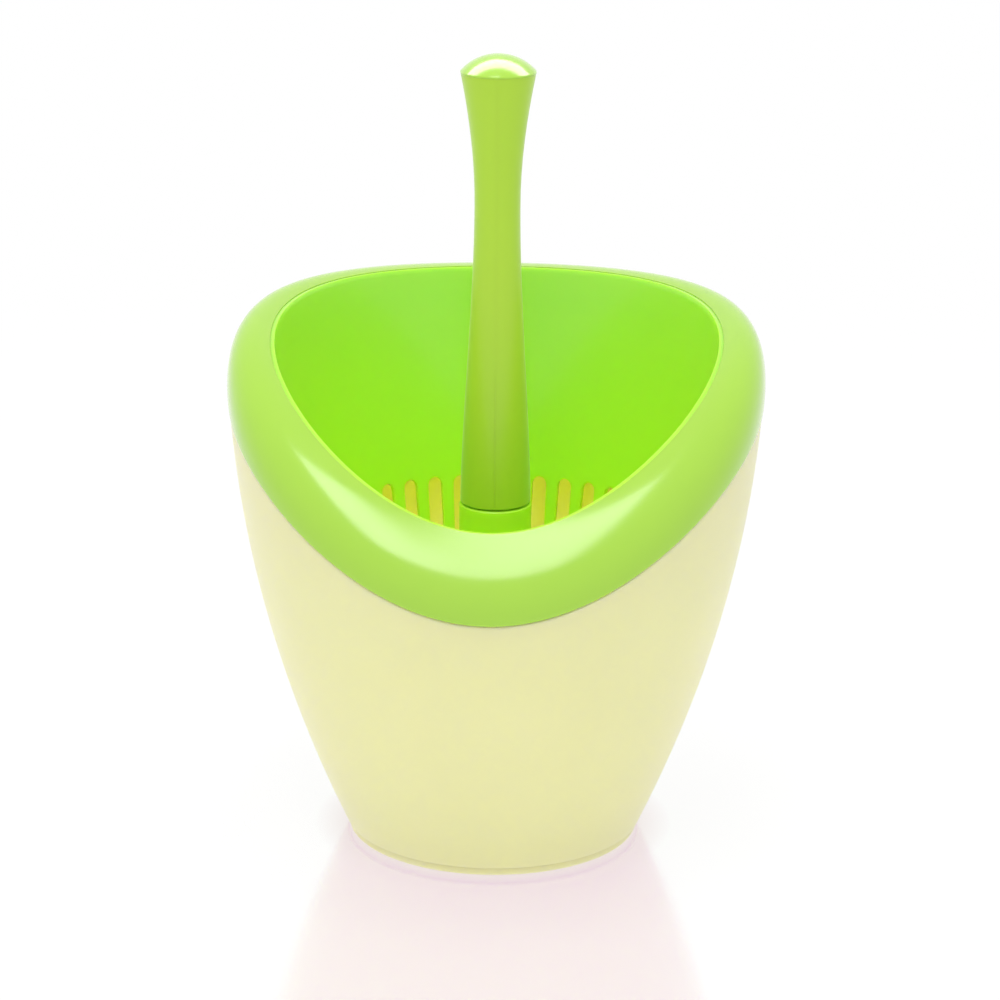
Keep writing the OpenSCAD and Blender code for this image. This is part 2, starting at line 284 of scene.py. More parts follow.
def pot_section(turn):
    """From the middle of the underside out, up, in and down to the middle of the floor"""
    foot_r = pot_r(FOOT_H) - FOOT_STEP
    under_z = FOOT_H - FOOT_STEP
    floor_z = under_z + POT_FLOOR
    top_z = edge_z(turn) - POT_GAP
    outside = [(pot_r(z), z, 0) for z in heights(FOOT_H, top_z, POT_WALL_RINGS)]
    inside = [(pot_r(z) - POT_WALL, z, 0) for z in heights(top_z, floor_z, POT_WALL_RINGS)]
    outside[0] = (pot_r(FOOT_H), FOOT_H, STEP_FILLET)
    outside[-1] = (pot_r(top_z), top_z, POT_RIM_FILLET)
    inside[0] = (pot_r(top_z) - POT_WALL, top_z, POT_RIM_FILLET)
    inside[-1] = (pot_r(floor_z) - POT_WALL, floor_z, POT_FLOOR_FILLET)
    foot = [
        (0, under_z, 0),
        (foot_r - FOOT_W, under_z, FOOT_FILLET),
        (foot_r - FOOT_W, 0, FOOT_FILLET),
        (foot_r, 0, FOOT_FILLET),
        (foot_r, FOOT_H, STEP_FILLET),
    ]
    return rounded(foot + outside + inside + [(0, floor_z, 0)])


pot = finish_mesh(turned("pot_shell", pot_section, POT_COLUMNS))

# %% [markdown]
# ## Collar
# The collar is a glossy dome between the lip of the bowl and the rim of the pot. It falls away from the
# lip at the front, rises from it at the sides and rises less at the back, where the lip hides most of it.
# Below its widest line it turns back in, and a hidden skirt under it keeps it in the pot. The same turned
# section serves, now with both its ends at the same place, so that the shell closes into a ring.

# %% Model the collar
COLLAR_T = 2 * MM
COLLAR_TUCK = math.radians(6)
FRONT_FALL = math.radians(42)
BACK_RISE = math.radians(28)
BACK_EASE = math.radians(18)
COLLAR_PROUD = 0.4 * MM
SKIRT_H = 5 * MM
SKIRT_T = 1.4 * MM
MOUTH_R = 75.5 * MM
MOUTH_Z = 179 * MM
BOWL_DRAFT = math.radians(9.6)
BOWL_WALL = 2 * MM
LIP_T = 1.2 * MM
LIP_GAP = 0.3 * MM
COLLAR_COLUMNS = 192
DOME_RINGS = 24
COLLAR_EDGE_FILLET = 0.8 * MM
SKIRT_FILLET = 0.4 * MM
RIM_FRONT_Z = rim_z(0)
RIM_TOP_Z = max(rim_z(math.radians(degrees)) for degrees in range(0, 360, 5))


def bowl_r(z):
    """Radius of the inside of the bowl"""
    return MOUTH_R - (MOUTH_Z - z) * math.tan(BOWL_DRAFT)


def arc(start, corner, stop, count):
    """Points of an arc that leaves start towards corner and ends at stop"""
    points = []
    for t in heights(0, 1, count):
        point = (1 - t) ** 2 * start + 2 * t * (1 - t) * corner + t**2 * stop
        points.append((*point, 0))
    return points


def collar_section(turn):
    """Over the dome from the lip, under its lower edge, round the skirt and back up inside"""
    lip_z = rim_z(turn)
    low_z = edge_z(turn)
    skirt_z = low_z - SKIRT_H
    in_r = bowl_r(lip_z) + LIP_T + LIP_GAP
    seat_r = pot_r(low_z) - POT_WALL - POT_GAP
    skirt_r = pot_r(skirt_z) - POT_WALL - POT_GAP
    lip = Vector((in_r, lip_z))
    low = Vector((pot_r(low_z) + COLLAR_PROUD, low_z))
    height_share = (lip_z - RIM_FRONT_Z) / (RIM_TOP_Z - RIM_FRONT_Z)
    back_share = max(0, -math.cos(turn)) ** 2
    crest = (FRONT_FALL + BACK_RISE) * height_share - FRONT_FALL - BACK_EASE * back_share
    span = low - lip
    side_reach = span.x * math.cos(COLLAR_TUCK) - span.y * math.sin(COLLAR_TUCK)
    reach = side_reach / math.cos(crest + COLLAR_TUCK)
    corner = lip + reach * Vector((math.cos(crest), math.sin(crest)))
    dome = arc(lip, corner, low, DOME_RINGS)
    dome[-1] = (*low, COLLAR_EDGE_FILLET)
    skirt = [
        (seat_r, low_z, SKIRT_FILLET),
        (skirt_r, skirt_z, SKIRT_FILLET),
        (skirt_r - SKIRT_T, skirt_z, SKIRT_FILLET),
    ]
    in_low = Vector((seat_r - SKIRT_T, low_z))
    in_corner = corner - Vector((COLLAR_T, COLLAR_T))
    in_lip = Vector((in_r + BOWL_WALL - LIP_T, lip_z - COLLAR_T))
    hollow = arc(in_low, in_corner, in_lip, DOME_RINGS // 2)
    return rounded(dome + skirt + hollow + [(in_r, lip_z - COLLAR_T, 0), dome[0]])


collar = finish_mesh(turned("collar_ring", collar_section, COLLAR_COLUMNS))

# %% [markdown]
# ## Sieve bowl
# The bowl is a thin cone with upright slots low in its wall that run in over the floor, a ring of floor
# slots and a hollow boss for the handle. Slots could be cut with a boolean, but thin slivers would spoil
# their round edges. Here the columns of the shell are laid along the sides of the slots from the start,
# the faces inside each slot are deleted, and Solidify and Bevel give the walls and the round edges. The lip
# laps a little into the collar, so that no dark groove shows between the two.

# %% Sizes of the bowl
FLOOR_Z = 84 * MM
FLOOR_T = 2.2 * MM
SLOT_COUNT = 42
SLOT_W = 5.2 * MM
SLOT_TOP_Z = 106.4 * MM
SLOT_RUN = 12 * MM
FLOOR_SLOT_W = 3.6 * MM
FLOOR_SLOT_IN_R = 22 * MM
FLOOR_SLOT_OUT_R = 43 * MM
BOSS_R = 12.2 * MM
BOSS_WALL = 2.6 * MM
BOSS_PLATE = 4.2 * MM
JOINT_Z = 115.6 * MM
JOINT_BEVEL = 0.6 * MM
BOLT_HOLE_R = 3.3 * MM
SLOT_STEPS = 6
PITCH_COLUMNS = 10
BOWL_COLUMNS = SLOT_COUNT * PITCH_COLUMNS
PITCH = 2 * math.pi / SLOT_COUNT
print(SLOT_COUNT, "wall slots and", SLOT_COUNT // 2, "floor slots on", BOWL_COLUMNS, "columns")

# %% Lay the columns along the slots
FLOOR_SLOT_START = PITCH_COLUMNS - 5


def column_place(column, radius, slot_w, on_floor):
    """Angle of a column from the front, and how far it stands out along the round end of a slot"""
    per_slot = 2 * PITCH_COLUMNS if on_floor else PITCH_COLUMNS
    start = FLOOR_SLOT_START if on_floor else 0
    slot, step = divmod((column - start) % BOWL_COLUMNS, per_slot)
    middle = (2 * slot + 1) * PITCH if on_floor else (slot + 0.5) * PITCH
    slot_pitch = per_slot // PITCH_COLUMNS * PITCH
    half_turn = math.asin(slot_w / 2 / radius)
    if step <= SLOT_STEPS:
        bend = math.pi * step / SLOT_STEPS
        across = -slot_w / 2 * math.cos(bend)
        return middle + math.asin(across / radius), slot_w / 2 * math.sin(bend)
    share = (step - SLOT_STEPS) / (per_slot - SLOT_STEPS)
    return middle + half_turn + share * (slot_pitch - 2 * half_turn), 0


def in_slot(column, on_floor):
    """Whether the face after this column lies in a slot"""
    per_slot = 2 * PITCH_COLUMNS if on_floor else PITCH_COLUMNS
    start = FLOOR_SLOT_START if on_floor else 0
    return (column - start) % per_slot < SLOT_STEPS


print("columns of one slot:", [round(column_place(c, bowl_r(SLOT_TOP_Z), SLOT_W, False)[0] / PITCH, 2)
                               for c in range(PITCH_COLUMNS)])

# %% Lay the rings of the bowl
LEDGE_DROP = COLLAR_T + LIP_GAP
LIP_LAP = 0.3 * MM
LIP_RINGS = 14
LIP_FIRST_SHARE = 0.95
SLOT_RINGS = 4
RUN_RINGS = 3
LAND = 1.2 * MM
CORNER_FILLET = 2.5 * MM
BOSS_FILLET = 1.2 * MM

rings = []
thickness = []


def add_ring(points, wall):
    """Keep a ring of the bowl and the thickness of the wall there"""
    rings.append(points)
    thickness.append(wall)
    return len(rings) - 1


def wall_ring(height, bulge=0):
    """Ring on the slotted wall; a bulge follows the round tops of the slots"""
    points = []
    for column in range(BOWL_COLUMNS):
        turn, stand = column_place(column, bowl_r(height), SLOT_W, False)
        z = height + bulge * stand
        points.append(around(bowl_r(z), z, turn))
    return points


def lip_ring(share, drop=0):
    """Ring between the slots and the lip, which follows the rim line more and more"""
    low = SLOT_TOP_Z + LAND
    points = []
    for column in range(BOWL_COLUMNS):
        turn = column_place(column, bowl_r(low), SLOT_W, False)[0]
        z = low + share * (rim_z(turn) - drop - low)
        points.append(around(bowl_r(z), z, turn))
    return points


def floor_ring(radius, height, slot_w, on_floor, bulge=0):
    """Ring on the floor or the boss"""
    points = []
    for column in range(BOWL_COLUMNS):
        turn, stand = column_place(column, radius, slot_w, on_floor)
        points.append(around(radius + bulge * stand, height, turn))
    return points


lip_wall = LIP_T + LIP_GAP + LIP_LAP
add_ring(lip_ring(1), lip_wall)
add_ring(lip_ring(1, LEDGE_DROP - LIP_GAP), lip_wall)
add_ring(lip_ring(1, LEDGE_DROP), BOWL_WALL)
for share in heights(LIP_FIRST_SHARE, 0, LIP_RINGS):
    add_ring(lip_ring(share, LEDGE_DROP), BOWL_WALL)
slot_first = add_ring(wall_ring(SLOT_TOP_Z - SLOT_W / 2, bulge=1), BOWL_WALL)
for height in heights(SLOT_TOP_Z - SLOT_W, FLOOR_Z + 2 * CORNER_FILLET, SLOT_RINGS):
    add_ring(wall_ring(height), BOWL_WALL)
run_end = bowl_r(FLOOR_Z) - SLOT_RUN
corner = rounded([
    (bowl_r(FLOOR_Z + 2 * CORNER_FILLET), FLOOR_Z + 2 * CORNER_FILLET, 0),
    (bowl_r(FLOOR_Z), FLOOR_Z, CORNER_FILLET),
    (run_end, FLOOR_Z, 0),
])
for radius, height in corner[1:-1]:
    add_ring(floor_ring(radius, height, SLOT_W, False), FLOOR_T)
for radius in heights(corner[-2][0], run_end, RUN_RINGS)[1:]:
    slot_last = add_ring(floor_ring(radius, FLOOR_Z, SLOT_W, False), FLOOR_T)
print("wall slots lie between rings", slot_first, "and", slot_last)

# %% Lay the rings of the floor slots and the boss
BOSS_COLUMN_SHIFT = 2

floor_slot_half = FLOOR_SLOT_W / 2
add_ring(floor_ring(run_end - LAND, FLOOR_Z, FLOOR_SLOT_W, False), FLOOR_T)
floor_first = add_ring(floor_ring(FLOOR_SLOT_OUT_R, FLOOR_Z, FLOOR_SLOT_W, True, bulge=1), FLOOR_T)
for radius in heights(FLOOR_SLOT_OUT_R - floor_slot_half, FLOOR_SLOT_IN_R + floor_slot_half, SLOT_RINGS):
    add_ring(floor_ring(radius, FLOOR_Z, FLOOR_SLOT_W, True), FLOOR_T)
floor_last = add_ring(floor_ring(FLOOR_SLOT_IN_R, FLOOR_Z, FLOOR_SLOT_W, True, bulge=-1), FLOOR_T)
boss = rounded([
    (FLOOR_SLOT_IN_R - floor_slot_half - LAND, FLOOR_Z, 0),
    (BOSS_R, FLOOR_Z, BOSS_FILLET),
    (BOSS_R, (FLOOR_Z + JOINT_Z) / 2, 0),
    (BOSS_R, JOINT_Z, JOINT_BEVEL),
    (BOLT_HOLE_R, JOINT_Z, 0),
])
for radius, height in boss:
    wall = FLOOR_T if height == FLOOR_Z else BOSS_WALL
    if height > JOINT_Z - JOINT_BEVEL:
        wall = BOSS_PLATE
    turns = [(c + BOSS_COLUMN_SHIFT) / PITCH_COLUMNS * PITCH for c in range(BOWL_COLUMNS)]
    add_ring([around(radius, height, turn) for turn in turns], wall)
print("floor slots lie between rings", floor_first, "and", floor_last, "of", len(rings))

# %% Model the bowl
SLOT_EDGE = 0.4 * MM
SLOT_EDGE_STEPS = 2
SHARP_ANGLE = math.radians(45)


def apply_modifier(piece, kind, **settings):
    """Add a modifier, set it and apply it"""
    modifier = piece.modifiers.new(kind.lower(), kind)
    for name, value in settings.items():
        setattr(modifier, name, value)
    bpy.ops.object.select_all(action="DESELECT")
    piece.select_set(True)
    bpy.context.view_layer.objects.active = piece
    bpy.ops.object.modifier_apply(modifier=modifier.name)


def face_in_slot(face, column, ring):
    """Whether all corners of a face lie in one slot"""
    columns = sorted({point[column] for point in face.verts})
    first_column = columns[-1] if columns[-1] - columns[0] > 1 else columns[0]
    first_ring = min(point[ring] for point in face.verts)
    in_wall = slot_first <= first_ring < slot_last and in_slot(first_column, False)
    return in_wall or (floor_first <= first_ring < floor_last and in_slot(first_column, True))


bowl = loft("bowl_shell", rings)
mesh = bmesh.from_edit_mesh(bowl.data)
column = mesh.verts.layers.int["column"]
ring = mesh.verts.layers.int["ring"]
bpy.ops.mesh.select_all(action="DESELECT")
bpy.ops.mesh.select_mode(type="FACE")
for face in mesh.faces:
    face.select = face_in_slot(face, column, ring)
bmesh.update_edit_mesh(bowl.data)
bpy.ops.mesh.delete(type="FACE")
mesh = bmesh.from_edit_mesh(bowl.data)
mesh.faces.ensure_lookup_table()
first_face = mesh.faces[0]
if first_face.normal.dot(first_face.calc_center_median()) > 0:
    bpy.ops.mesh.select_all(action="SELECT")
    bpy.ops.mesh.flip_normals()
ring_of_point = [point[mesh.verts.layers.int["ring"]] for point in bmesh.from_edit_mesh(bowl.data).verts]
bpy.ops.object.mode_set(mode="OBJECT")
walls = bowl.vertex_groups.new(name="walls")
for index, k in enumerate(ring_of_point):
    walls.add([index], thickness[k] / BOSS_PLATE, "REPLACE")
apply_modifier(bowl, "SOLIDIFY", thickness=BOSS_PLATE, offset=-1, use_even_offset=True, vertex_group="walls")
apply_modifier(bowl, "BEVEL", width=SLOT_EDGE, segments=SLOT_EDGE_STEPS, limit_method="ANGLE",
               angle_limit=SHARP_ANGLE, use_clamp_overlap=True)
bowl.vertex_groups.clear()
finish_mesh(bowl)

# %% [markdown]
# ## Handle
# The handle is two half shells with a fine seam down its front and its back. It is widest at its foot
# and its head, and slim at the neck. One whole hollow handle is turned first and then bisected down the
# middle, which leaves two flat seam faces, and a small bevel along them draws the seam.

# %% Sizes of the handle
HANDLE_FOOT_R = 11.9 * MM
NECK_R = 7.6 * MM
NECK_Z = 219 * MM
HANDLE_WALL = 2.2 * MM
END_BLOCK = 13 * MM
RIB_T = 6 * MM
RIB_SHARES = (0.3, 0.75)
RIB_HOLE_R = 0.8 * MM
NUT_SEAT = 3 * MM
NUT_POCKET_H = 5.3 * MM
NUT_POCKET_R = 6.1 * MM
FOOT_SLOPE = 0.4
HEAD_SLOPE = 1.8
HEAD_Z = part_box("handle_left_half")[1].z
HEAD_R = 12.4 * MM
HANDLE_COLUMNS = 96
HANDLE_RINGS = 26
HEAD_FILLET = 0.05 * MM
JOINT_GAP = 0.7 * MM
JOINT_LAP = 1.5 * MM
FOOT_EDGE_FILLET = 0.3 * MM
print("head of the handle:", round(HEAD_R / MM, 2), "mm at", round(HEAD_Z / MM, 2), "mm")


def ease(share, slope):
    """Curve from 0 to 1 that starts level and ends with the given slope"""
    return (3 - slope) * share**2 + (slope - 2) * share**3


def handle_r(z):
    """Radius of the outside of the handle"""
    if z < NECK_Z:
        return NECK_R + (HANDLE_FOOT_R - NECK_R) * ease((NECK_Z - z) / (NECK_Z - JOINT_Z), FOOT_SLOPE)
    return NECK_R + (HEAD_R - NECK_R) * ease((z - NECK_Z) / (HEAD_Z - NECK_Z), HEAD_SLOPE)


# %% Model the handle
SEAM_BEVEL = 0.05 * MM
SEAM_BEVEL_STEPS = 2


def handle_section(turn):
    """Up the outside, over the head, and down inside past the ribs and the nut pocket"""
    cavity_z = JOINT_Z + END_BLOCK
    nut_z = JOINT_Z + NUT_SEAT
    nut_top = nut_z + NUT_POCKET_H
    ribs = [cavity_z + (NECK_Z - cavity_z) * share for share in RIB_SHARES]
    gap_z = JOINT_Z + JOINT_GAP
    gap_r = HANDLE_FOOT_R - JOINT_LAP
    gap = [(gap_r, JOINT_Z, 0), (gap_r, gap_z, 0)]
    outside = [(handle_r(z), z, 0) for z in heights(gap_z, HEAD_Z, HANDLE_RINGS)]
    outside[0] = (handle_r(gap_z), gap_z, FOOT_EDGE_FILLET)
    outside[-1] = (HEAD_R, HEAD_Z, HEAD_FILLET)
    inside = []
    for high, low in ((HEAD_Z, ribs[1] + RIB_T), (ribs[1], ribs[0] + RIB_T), (ribs[0], cavity_z)):
        if high < HEAD_Z:
            inside.append((RIB_HOLE_R, high, 0))
        inside += [(handle_r(z) - HANDLE_WALL, z, 0) for z in heights(high, low, HANDLE_RINGS // 3)]
        if low > cavity_z:
            inside.append((RIB_HOLE_R, low, 0))
    end = [
        (BOLT_HOLE_R, cavity_z, 0),
        (BOLT_HOLE_R, nut_top, 0),
        (NUT_POCKET_R, nut_top, 0),
        (NUT_POCKET_R, nut_z, 0),
        (BOLT_HOLE_R, nut_z, 0),
    ]
    start = (BOLT_HOLE_R, JOINT_Z, 0)
    return rounded([start] + gap + outside + inside + end + [start])


def handle_half(name, side):
    """Half of the handle; side is -1 for the half at -X and 1 for the half at +X"""
    half = turned(name, handle_section, HANDLE_COLUMNS, half_step=True)
    bpy.ops.mesh.select_all(action="SELECT")
    bpy.ops.mesh.bisect(plane_co=(0, 0, 0), plane_no=(-side, 0, 0), use_fill=True, clear_outer=True)
    bpy.ops.mesh.select_all(action="SELECT")
    bpy.ops.mesh.normals_make_consistent(inside=False)
    bpy.ops.mesh.select_all(action="DESELECT")
    bpy.ops.mesh.select_mode(type="EDGE")
    mesh = bmesh.from_edit_mesh(half.data)
    for edge in mesh.edges:
        on_seam = all(abs(point.co.x) < MERGE_DISTANCE for point in edge.verts)
        outer = all(abs(point.co.y) > handle_r(point.co.z) - HANDLE_WALL / 2 for point in edge.verts)
        edge.select = on_seam and outer
    bmesh.update_edit_mesh(half.data)
    bpy.ops.mesh.bevel(offset=SEAM_BEVEL, segments=SEAM_BEVEL_STEPS, affect="EDGES")
    return finish_mesh(half)


grip_left = handle_half("grip_left", -1)
grip_right = handle_half("grip_right", 1)

# %% [markdown]
# ## Cap
# A glossy domed cap closes the head, with a plug inside that holds the half shells together. It is
# turned like the pot: the section starts and ends on the axis, and the poles are merged into one point.

# %% Model the cap
CAP_EDGE = 0.6 * MM
PLUG_GAP = 0.3 * MM
CAP_COLUMNS = 96
CAP_FILLET = 0.05 * MM
CAP_EDGE_FILLET = 0.4 * MM
CAP_RINGS = 20
PLUG_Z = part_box("handle_cap")[0].z
CAP_TOP_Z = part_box("handle_cap")[1].z
CAP_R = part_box("handle_cap")[1].x


def cap_section(turn):
    """From the middle of the plug out, over the edge and up the dome"""
    plug_r = handle_r(PLUG_Z) - HANDLE_WALL - PLUG_GAP
    dome_h = CAP_TOP_Z - HEAD_Z - CAP_EDGE
    plug = [(0, PLUG_Z, 0), (plug_r, PLUG_Z, CAP_FILLET), (plug_r, HEAD_Z, 0), (CAP_R, HEAD_Z, CAP_FILLET)]
    dome_r = (CAP_R**2 + dome_h**2) / (2 * dome_h)
    dome = []
    for turn_in in heights(math.asin(CAP_R / dome_r), 0, CAP_RINGS):
        dome.append((dome_r * math.sin(turn_in), CAP_TOP_Z + dome_r * (math.cos(turn_in) - 1), 0))
    dome[0] = (*dome[0][:2], CAP_EDGE_FILLET)
    return rounded(plug + dome)


cap = finish_mesh(turned("grip_cap", cap_section, CAP_COLUMNS))

# %% [markdown]
# ## Moulded plastic
# All the large pieces are injection moulded. Such a skin is never one flat colour: the pigment clouds a
# little, the polish of the mould varies, a fine grain scatters the light and the cooling wall sinks into
# shallow waves that bend its reflections. One node group makes these effects for every plastic here, and
# each plastic sets its own amounts.

# %% Node helpers
def add_node(tree, kind, **values):
    """Node of a kind with some inputs set by name"""
    node = tree.nodes.new(kind)
    for name, value in values.items():
        node.inputs[name.replace("_", " ")].default_value = value
    return node


def linear(red, green, blue):
    """Colour written in display values from 0 to 255, as shaders take it"""
    parts = []
    for value in (red, green, blue):
        share = value / 255
        parts.append(share / 12.92 if share <= 0.04045 else ((share + 0.055) / 1.055) ** 2.4)
    return (*parts, 1.0)


print("mid grey is", round(linear(128, 128, 128)[0], 3), "in linear light")

# %% Build the moulded skin
GRAIN_SCALE = 2600
CLOUD_SCALE = 24
POLISH_SCALE = 70
WAVE_SCALE = 60


def build_moulded_skin():
    """Group of nodes for the skin of a moulded plastic"""
    group = bpy.data.node_groups.new("moulded_skin", "ShaderNodeTree")
    face = group.interface
    face.new_socket("Colour", in_out="INPUT", socket_type="NodeSocketColor")
    for name in ("Clouding", "Roughness", "Polish spread", "Grain height", "Wave height"):
        face.new_socket(name, in_out="INPUT", socket_type="NodeSocketFloat")
    face.new_socket("Colour", in_out="OUTPUT", socket_type="NodeSocketColor")
    face.new_socket("Roughness", in_out="OUTPUT", socket_type="NodeSocketFloat")
    face.new_socket("Normal", in_out="OUTPUT", socket_type="NodeSocketVector")
    link = group.links.new
    given = group.nodes.new("NodeGroupInput")
    made = group.nodes.new("NodeGroupOutput")
    place = group.nodes.new("ShaderNodeTexCoord").outputs["Object"]
    clouds = add_node(group, "ShaderNodeTexNoise", Scale=CLOUD_SCALE, Detail=3.0)
    polish = add_node(group, "ShaderNodeTexNoise", Scale=POLISH_SCALE, Detail=4.0)
    grain = add_node(group, "ShaderNodeTexNoise", Scale=GRAIN_SCALE, Detail=2.0)
    waves = add_node(group, "ShaderNodeTexNoise", Scale=WAVE_SCALE, Detail=1.0)
    for noise in (clouds, polish, grain, waves):
        link(place, noise.inputs["Vector"])

    def spread(noise, amount, middle):
        """Noise turned into a value that swings around a middle by an amount"""
        centred = group.nodes.new("ShaderNodeMath")
        centred.operation = "SUBTRACT"
        centred.inputs[1].default_value = 0.5
        link(noise.outputs["Fac"], centred.inputs[0])
        swing = group.nodes.new("ShaderNodeMath")
        swing.operation = "MULTIPLY_ADD"
        link(centred.outputs[0], swing.inputs[0])
        link(amount, swing.inputs[1])
        if isinstance(middle, float):
            swing.inputs[2].default_value = middle
        else:
            link(middle, swing.inputs[2])
        return swing.outputs[0]

    tint = add_node(group, "ShaderNodeHueSaturation", Hue=0.5, Saturation=1.0, Fac=1.0)
    link(spread(clouds, given.outputs["Clouding"], 1.0), tint.inputs["Value"])
    link(given.outputs["Colour"], tint.inputs["Color"])
    link(tint.outputs["Color"], made.inputs["Colour"])
    rough = spread(polish, given.outputs["Polish spread"], given.outputs["Roughness"])
    link(rough, made.inputs["Roughness"])
    wave_bump = add_node(group, "ShaderNodeBump", Strength=1.0)
    link(waves.outputs["Fac"], wave_bump.inputs["Height"])
    link(given.outputs["Wave height"], wave_bump.inputs["Distance"])
    grain_bump = add_node(group, "ShaderNodeBump", Strength=1.0)
    link(grain.outputs["Fac"], grain_bump.inputs["Height"])
    link(given.outputs["Grain height"], grain_bump.inputs["Distance"])
    link(wave_bump.outputs["Normal"], grain_bump.inputs["Normal"])
    link(grain_bump.outputs["Normal"], made.inputs["Normal"])
    return group


moulded_skin = build_moulded_skin()
print("moulded skin has", len(moulded_skin.nodes), "nodes")

# %% Mix the plastics
COLOUR_DEPTHS = (1.0, 1.0, 0.4)
COAT_ROUGHNESS = 0.14
SHEEN_ROUGHNESS = 0.35


def plastic(name, colour, clouding, roughness, spread, grain, wave, glow, depth, coat, sheen):
    """Plastic with the moulded skin; glow is its share of light that travels inside the wall"""
    material = bpy.data.materials.new(name)
    material.use_nodes = True
    tree = material.node_tree
    shader = tree.nodes["Principled BSDF"]
    skin = tree.nodes.new("ShaderNodeGroup")
    skin.node_tree = moulded_skin
    skin.inputs["Colour"].default_value = colour
    skin.inputs["Clouding"].default_value = clouding
    skin.inputs["Roughness"].default_value = roughness
    skin.inputs["Polish spread"].default_value = spread
    skin.inputs["Grain height"].default_value = grain
    skin.inputs["Wave height"].default_value = wave
    tree.links.new(skin.outputs["Colour"], shader.inputs["Base Color"])
    tree.links.new(skin.outputs["Roughness"], shader.inputs["Roughness"])
    tree.links.new(skin.outputs["Normal"], shader.inputs["Normal"])
    shader.inputs["Subsurface Weight"].default_value = glow
    shader.inputs["Subsurface Radius"].default_value = COLOUR_DEPTHS
    shader.inputs["Subsurface Scale"].default_value = depth
    shader.inputs["Coat Weight"].default_value = coat
    shader.inputs["Coat Roughness"].default_value = COAT_ROUGHNESS
    shader.inputs["Sheen Weight"].default_value = sheen
    shader.inputs["Sheen Roughness"].default_value = SHEEN_ROUGHNESS
    return material


cream = plastic(
    "moulded_cream", linear(212, 208, 166), clouding=0.05, roughness=0.42, spread=0.12, grain=0.006 * MM,
    wave=0.05 * MM, glow=1.0, depth=5 * MM, coat=0.0, sheen=0.15
)
leaf = plastic(
    "moulded_leaf", linear(157, 222, 50), clouding=0.06, roughness=0.34, spread=0.12, grain=0.004 * MM,
    wave=0.05 * MM, glow=0.7, depth=4 * MM, coat=0.4, sheen=0.0
)
lime = plastic(
    "moulded_lime", linear(151, 195, 49), clouding=0.05, roughness=0.2, spread=0.08, grain=0.002 * MM,
    wave=0.06 * MM, glow=0.35, depth=2 * MM, coat=0.5, sheen=0.2
)
grip = plastic(
    "moulded_grip", linear(162, 198, 44), clouding=0.06, roughness=0.36, spread=0.12, grain=0.004 * MM,
    wave=0.05 * MM, glow=0.3, depth=2 * MM, coat=0.0, sheen=0.2
)
print("plastics:", [m.name for m in (cream, leaf, lime, grip)])

# %% [markdown]
# ## Paler wall near the slots
# The bowl looks bright and yellowish low down, where light comes through its thin wall, and deeper green
# near the lip. That light is painted into the colour: a ramp over the height of the bowl mixes a painted
# light colour low down with the green higher up. Painted vertex colours would do as well, but the ramp
# follows the height on its own.

# %% Paint light into the bowl towards its slots
# Painted light: low down the bowl is paler and yellower, standing in for light that comes through its thin
# wall.
PAINTED_LIGHT_FULL_Z = 100 * MM
PAINTED_LIGHT_END_Z = 170 * MM
PAINTED_LIGHT_LEAF = linear(186, 242, 46)

tree = leaf.node_tree
skin = next(node for node in tree.nodes if node.type == "GROUP")
place = tree.nodes.new("ShaderNodeTexCoord").outputs["Object"]
parts = tree.nodes.new("ShaderNodeSeparateXYZ")
tree.links.new(place, parts.inputs[0])
share = add_node(tree, "ShaderNodeMapRange", From_Min=PAINTED_LIGHT_FULL_Z, From_Max=PAINTED_LIGHT_END_Z)
tree.links.new(parts.outputs["Z"], share.inputs["Value"])
ramp = tree.nodes.new("ShaderNodeValToRGB")
ramp.color_ramp.elements[0].color = PAINTED_LIGHT_LEAF
ramp.color_ramp.elements[1].color = skin.inputs["Colour"].default_value
tree.links.new(share.outputs["Result"], ramp.inputs["Fac"])
tree.links.new(ramp.outputs["Color"], skin.inputs["Colour"])
print("the bowl pales below", round(PAINTED_LIGHT_END_Z / MM), "mm")

# %% [markdown]
# ## Steel
# The bolt, its washer and the nut are plain zinc-plated steel. They hide inside the boss and the handle,
# so their solids stay as they are and get a metal with the mottled grain of plating.

# %% Plate the fasteners
PLATING_SCALE = 900
PLATING_HEIGHT = 0.004 * MM
STEEL_TONES = (0.5, 0.72)
STEEL_POLISH = (0.22, 0.42)


def plated_steel():
    """Bright steel with the mottle of zinc plating"""
    material = bpy.data.materials.new("plated_steel")
    material.use_nodes = True
    tree = material.node_tree
    shader = tree.nodes["Principled BSDF"]
    place = tree.nodes.new("ShaderNodeTexCoord").outputs["Object"]
    mottle = add_node(tree, "ShaderNodeTexNoise", Scale=PLATING_SCALE, Detail=5.0)
    tree.links.new(place, mottle.inputs["Vector"])
    tone = add_node(tree, "ShaderNodeMapRange", To_Min=STEEL_TONES[0], To_Max=STEEL_TONES[1])
    tree.links.new(mottle.outputs["Fac"], tone.inputs["Value"])
    tree.links.new(tone.outputs["Result"], shader.inputs["Base Color"])
    polish = add_node(tree, "ShaderNodeMapRange", To_Min=STEEL_POLISH[0], To_Max=STEEL_POLISH[1])
    tree.links.new(mottle.outputs["Fac"], polish.inputs["Value"])
    tree.links.new(polish.outputs["Result"], shader.inputs["Roughness"])
    bump = add_node(tree, "ShaderNodeBump", Strength=1.0, Distance=PLATING_HEIGHT)
    tree.links.new(mottle.outputs["Fac"], bump.inputs["Height"])
    tree.links.new(bump.outputs["Normal"], shader.inputs["Normal"])
    shader.inputs["Metallic"].default_value = 1.0
    return material


steel = plated_steel()
for name in ("handle_bolt", "bolt_washer", "captive_nut"):
    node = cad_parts[name]
    node.data.materials.clear()
    node.data.materials.append(steel)
print("plated:", steel.name)

# %% [markdown]
# ## Join the pieces to the frame
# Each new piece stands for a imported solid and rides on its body, so that the basket lifts out of the pot
# with everything that is fixed to it.

# %% Ride and replace
def join(piece, material, body, node):
    """Give a piece its material, its body and the solid that it stands for"""
    piece.data.materials.clear()
    piece.data.materials.append(material)
    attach(piece, body)
    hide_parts(node)


